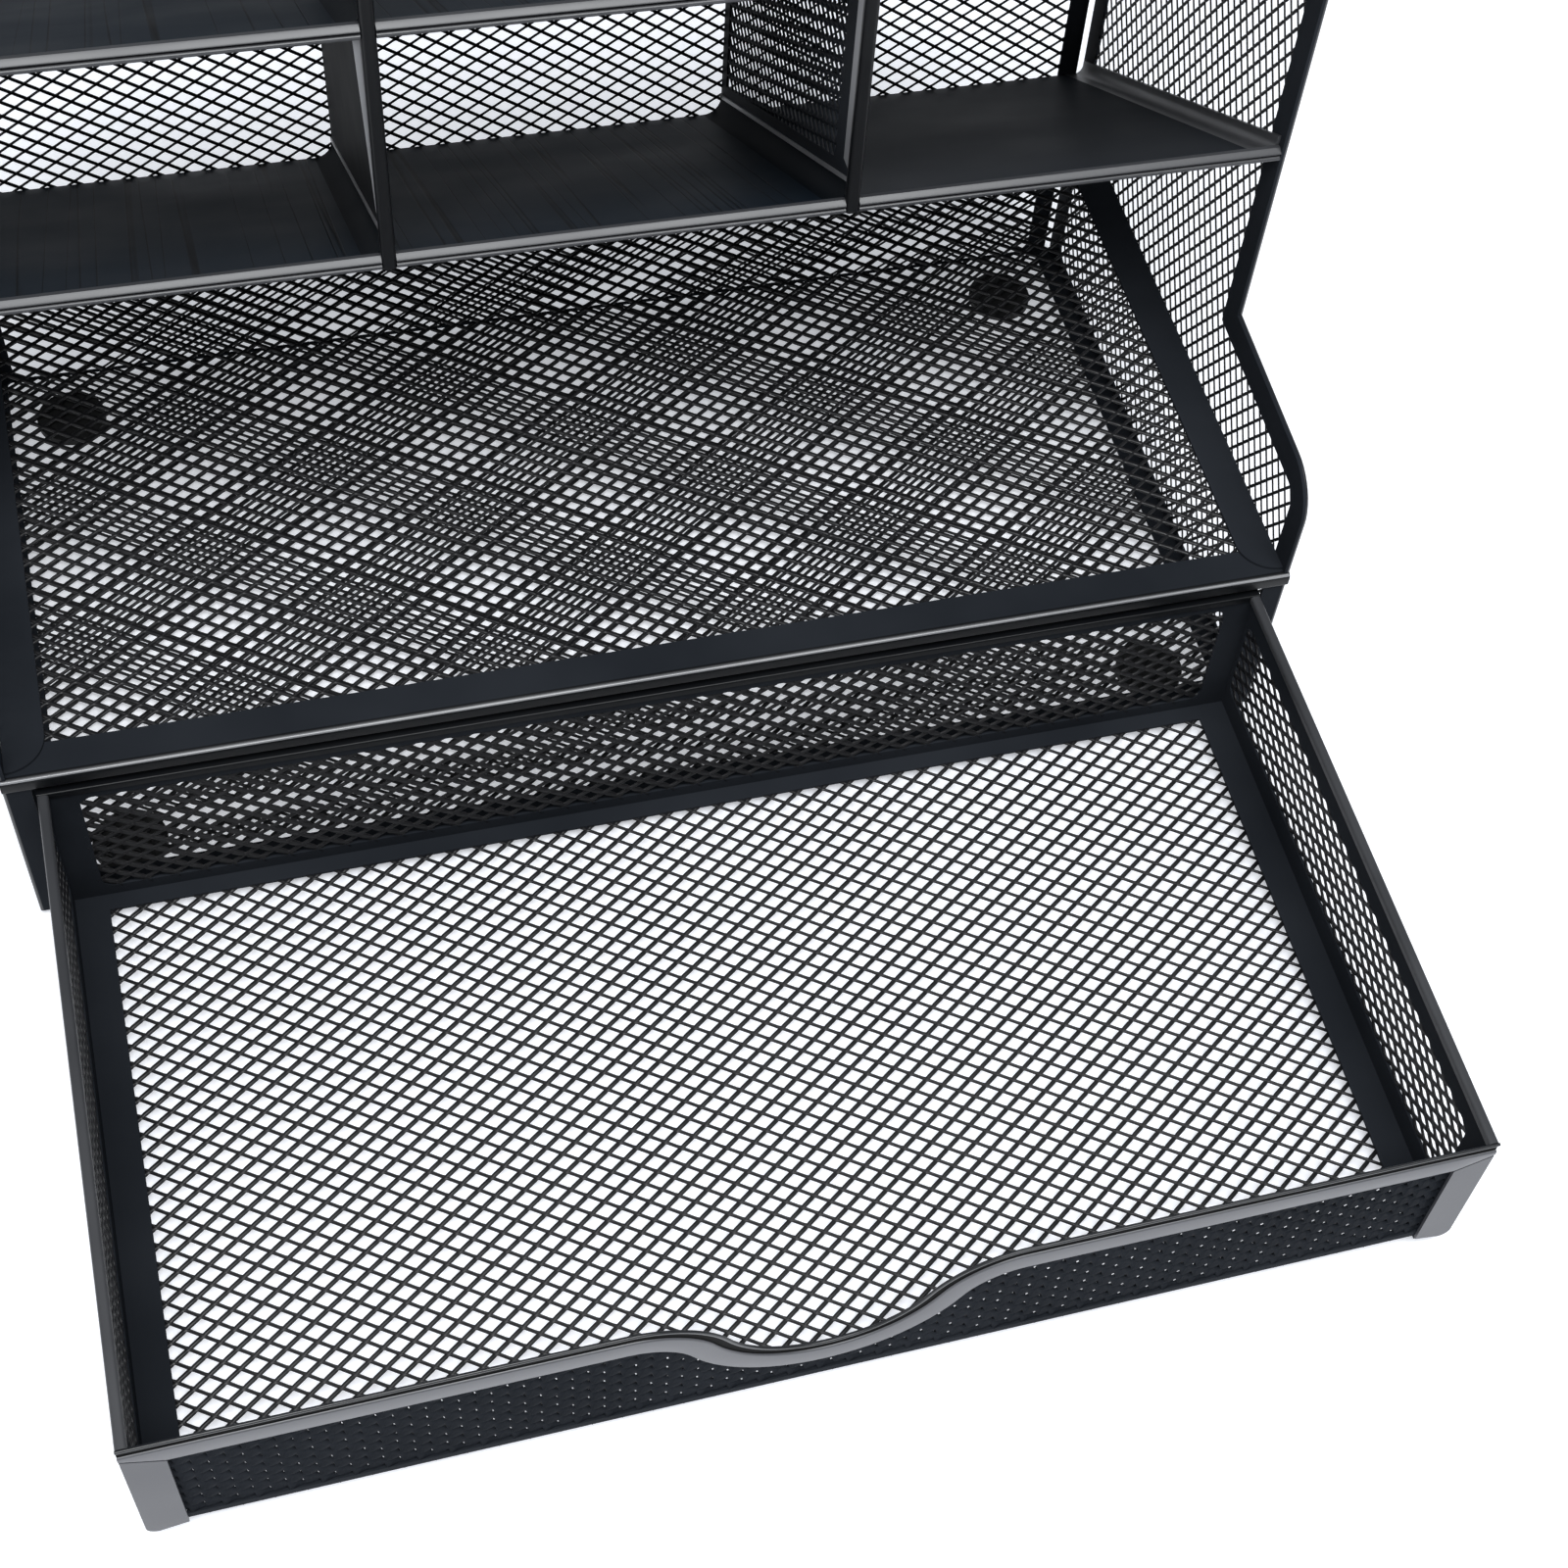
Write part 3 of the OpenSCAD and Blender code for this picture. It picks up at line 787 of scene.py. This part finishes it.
def edge_bar(name, profile, half, nodes, material, mitre=0.0):
    """A bar of a (y, g) profile along the front's top edge, where g is the depth below it. Its
    lower half rises by mitre towards each end."""
    edges = []
    for _, g in profile:
        edge = scoop_edge(g, half)
        rise = mitre if g > MITRE_FROM else 0.0
        x, z = edge[0]
        edges.append(
            [(x, z + rise), (half - POST_W, z)] + edge[1:-1] + [(POST_W - half, z), (-x, z + rise)]
        )
    rings = [
        np.array([(edge[k][0], y, edge[k][1]) for (y, _), edge in zip(profile, edges)])
        for k in range(len(edges[0]))
    ]
    loft(name, rings, "drawer", nodes, material)


# Depths below the edge: the bead's low side, and the band's two sides. The groove between them is
# sunk, its floor runs on behind the band, and it is coloured near black as painted shade.
bead_low, band_high, band_low = 0.8, 3.9, 9.2
sunk, groove_low, r = y0 + 0.6, 9.4, bead_low / 2
edge_bar(
    "drawer_front_bead",
    arc(y0 + r, r, r, 180, 360, 8) + [(y0 + SHEET, bead_low), (y0 + 0.1, bead_low)],
    half, ["drawer_front_rim"], EDGE,
)
edge_bar(
    "drawer_front_groove",
    [(sunk, bead_low), (y0 + SHEET, bead_low), (y0 + SHEET, groove_low), (sunk, groove_low)],
    half, [], SHADED_GROOVE, mitre=MITRE,
)
# The band's lighter coat is painted light on its front face
r = 0.5
edge_bar(
    "drawer_front_band",
    arc(y0 + r, band_high, r, 270, 180, 3) + arc(y0 + r, band_low, r, 180, 90, 3),
    half, [], LIT_BAND, mitre=MITRE,
)


def post(side):
    """The flat post under the end of the band. Its lower outer corner is rounded, and its top
    rises outwards to the mitred end of the band."""
    out, inn, r = half - 0.1, half - POST_W, 3.0
    # The top is just clear of the band's round lower edge
    z0, z1 = box("drawer_right_post")[0][2], DRAWER_TOP - band_low - 0.65
    shape = [(inn, z0 + 1.6)] + arc(out - r, z0 + r, r, -80, 0, 6)
    shape += [(out, z1 + MITRE), (inn, z1)]
    shape = [(side * x, z) for x, z in shape]
    pts, faces = plate(shape, None, SHEET)
    name = "right" if side > 0 else "left"
    # The post's lighter coat is painted light on its front face
    make(
        f"drawer_{name}_post_plate", wall_y(y0)(pts), faces, "drawer", [f"drawer_{name}_post"],
        LIT_POST,
    )


for side in (1, -1):
    post(side)

# Rims along the other three walls: a rounded top over a straight skirt
# The side rims' lighter coat is painted light on their rounded tops
lo, hi = box("drawer_right_rim")
for side, word in ((1, "right"), (-1, "left")):
    r = 0.8
    section = [(lo[0], lo[2])] + [(hi[0], lo[2])] + arc(hi[0] - r, hi[2] - r, r, 0, 90, 5)
    section += arc(lo[0] + r, hi[2] - r, r, 90, 180, 5)
    ends = (DRAWER_FRONT + SHEET, hi[1])
    rings = [np.array([(side * x, y, z) for x, z in section]) for y in ends]
    loft(f"drawer_{word}_rim_bar", rings, "drawer", [f"drawer_{word}_rim"], LIT_FLANGE)
# The back one is also bent backwards along its top
lo, hi = box("drawer_back_rim")
low, high, out, r = hi[2] - SHEET, hi[2], hi[1] + 1.8, 0.5
section = [(lo[1], lo[2]), (hi[1], lo[2]), (hi[1], low), (out, low), (out, high)]
section += arc(lo[1] + r, high - r, r, 90, 180, 4)
loft(
    "drawer_back_rim_bar", along_x(section, lo[0], hi[0]), "drawer", ["drawer_back_rim"],
    DARK,
)


# ---- shelves' lips and dividers ----


def slope_z(level, y):
    """Height of a row's shelves, on their upper face, at a depth."""
    return SHELF_Z + level * PITCH - (y - SETBACK) * math.tan(TILT)


# A lip's section is a facet that slopes forward, an edge, a groove, and a round bead below
# The lips' lighter coat is a painted highlight over the facet's real gloss
for word in ("lower", "upper"):
    for column in ("left", "middle", "right"):
        lo, hi = box(f"{word}_lip_{column}")
        z0, z1, y1 = lo[2], hi[2], hi[1]
        profile = [(y1, z1), (lo[1] + 1.45, z1), (lo[1] + 0.2, z1 - 0.75), (lo[1], z1 - 1.0)]
        profile += [(lo[1] + 0.1, z1 - 1.2), (lo[1] + 1.35, z1 - 1.25), (lo[1] + 1.35, z0 + 1.35)]
        profile += arc(lo[1] + 0.7, z0 + 0.7, 0.7, 70, 270, 8) + [(y1, z0)]
        loft(
            f"{word}_lip_bar_{column}", along_x(profile, lo[0], hi[0]), "frame",
            [f"{word}_lip_{column}"], LIT_LIP, smooth=25,
        )


def divider(name, node, roll, level, plain):
    """The sheet between two columns: a quarter bend out of the shelf, a painted highlight strip
    along it, and the upright above them. Its front edge has a painted highlight strip by the roll.
    A plain one has no mesh."""
    lo, hi = box(node)
    y0, y1, x = lo[1], hi[1], hi[0] - SHEET
    lean = math.cos(TILT)
    bend = 6.0
    up = (bend - SHEET) / lean
    turn = arc(hi[0] - bend, bend - SHEET, bend, -90, 0)
    turn += arc(hi[0] - bend, bend - SHEET, bend - SHEET, 0, -90)
    rings = [
        np.array([(u, y, slope_z(level, y) + v / lean) for u, v in turn]) for y in (y0, y1)
    ]
    loft(name + "_bend", rings, "frame", [node], SHADED_BEND)
    # A painted highlight: a light strip along the top of the bend
    bend_highlight = []
    for y in (y0 + 2.5, y1):
        z = slope_z(level, y) + up
        bend_highlight.append(np.array([(u, y, z + v) for u, v in rect(x - 0.35, x, -0.6, 0.7)]))
    loft(name + "_seam", bend_highlight, "frame", [], PAINTED_HIGHLIGHT)
    foot = [(y0, slope_z(level, y0) + up), (y1, slope_z(level, y1) + up)]
    # The window starts above the bend and behind the roll, and ends before the back
    low, a, b = up + 4.5, y0 + 14.0, y1 - 5
    win = [(a, slope_z(level, a) + low), (b, slope_z(level, b) + low)]
    # A lower divider ends just past the next row's shelf, an upper one in a round front corner
    if level == 0:
        top = PITCH + 1.4 / lean
        cap = [(y1, slope_z(level, y1) + top), (y0 + 1.3, slope_z(level, y0 + 1.3) + top)]
        win += [(b, slope_z(level, b) + top - 9), (a, slope_z(level, a) + top - 9)]
    else:
        zt, r = hi[2], BIG_R - ROLL
        cap = [(y1, zt)] + arc(y0 + r, zt - r, r, 90, 180, 8)
        win += [(b, zt - 5)] + arc(a + 6, zt - 5 - 6, 6, 90, 180, 6)
    if plain:
        pts, faces = plate(foot + cap, None, SHEET)
        make(name + "_sheet", wall_x(x)(pts), faces, "frame", [node], DIVIDER)
    else:
        panel(
            name, node, "frame", wall_x(x), foot + cap, win, phase=(0.2, 0.8), skin=STEEL,
            wide=(1.5, -5.0), narrow=(1.3, -20.0), knot=1.3,
        )
    low_z, high_z = slope_z(level, y0) + up + 3, (hi[2] - 15 if level else cap[-1][1] - 3)
    if plain:
        # Seen edge on, the painted highlight strip by the roll shows only where it stands out
        # beyond the roll, widening upwards
        edge = box(roll)[0][0]
        rings = [
            np.array([(u, y, z) for u, y in rect(edge - out, edge + 0.3, y0 - 0.4, y0)])
            for z, out in ((low_z + 5, 0.05), (high_z, 1.6))
        ]
    else:
        # On a mesh divider the painted highlight is a narrow strip along the front edge
        hem = rect(x - 0.7, x, y0, y0 + 5.0)
        rings = [np.array([(u, y, z) for u, y in hem]) for z in (low_z, high_z)]
    loft(name + "_hem", rings, "frame", [], PAINTED_HIGHLIGHT)


for level, word in ((0, "lower"), (1, "upper")):
    divider(word + "_divider_l", word + "_divider_left", "divider_roll_left", level, plain=True)
    divider(word + "_divider_r", word + "_divider_right", "divider_roll_right", level, plain=False)

# The right end of each row turns up into a low flange against the side panel
# The flanges' lighter coat is painted light on the lit bend
for level, word in ((0, "lower"), (1, "upper")):
    lo, hi = box(word + "_flange")
    bend, wide, high = 3.2, 6.0, 3.8
    flange = [(hi[0] - wide, -SHEET)] + arc(hi[0] - bend, bend - SHEET, bend, -90, 0)
    flange += [(hi[0], high), (hi[0] - SHEET, high)]
    flange += arc(hi[0] - bend, bend - SHEET, bend - SHEET, 0, -90) + [(hi[0] - wide, 0.0)]
    loft(
        word + "_flange_bend",
        [np.array([(u, y, slope_z(level, y) + v / math.cos(TILT)) for u, v in flange])
         for y in (lo[1], hi[1])],
        "frame", [word + "_flange"], LIT_FLANGE,
    )

# The rolled edge down the front and along the top of the dividers
for word in ("left", "right"):
    lo, hi = box(f"divider_roll_{word}")
    r, small = 1.0, 0.5
    section = arc(lo[0] + r, r, r, 180, 270, 5) + arc(hi[0] - r, r, r, 270, 360, 5)
    section += arc(hi[0] - small, ROLL - small, small, 0, 90, 3)
    section += arc(lo[0] + small, ROLL - small, small, 90, 180, 3)
    edges = []
    for _, g in section:
        bent = arc(lo[1] + BIG_R, TOP - BIG_R, BIG_R - g, 180, 90, 12)
        edges.append([(lo[1] + g, lo[2])] + bent + [(hi[1], TOP - g)])
    rings = [
        np.array([(a, *edge[k]) for (a, _), edge in zip(section, edges)])
        for k in range(len(edges[0]))
    ]
    loft(f"divider_edge_{word}", rings, "frame", [f"divider_roll_{word}"], DARK)


# ---- the carried-over CAD nodes' materials ----

for name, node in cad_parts.items():
    if name.startswith("pad_"):
        m = RUBBER
    # All shelves but the right ones get the coat with the painted reflection streaks
    elif "shelf" in name and "right" not in name:
        m = SOLID
    elif "hem" in name:
        m = EDGE
    else:
        m = STEEL
    if node.data.materials:
        for i in range(len(node.data.materials)):
            node.data.materials[i] = m
    else:
        node.data.materials.append(m)
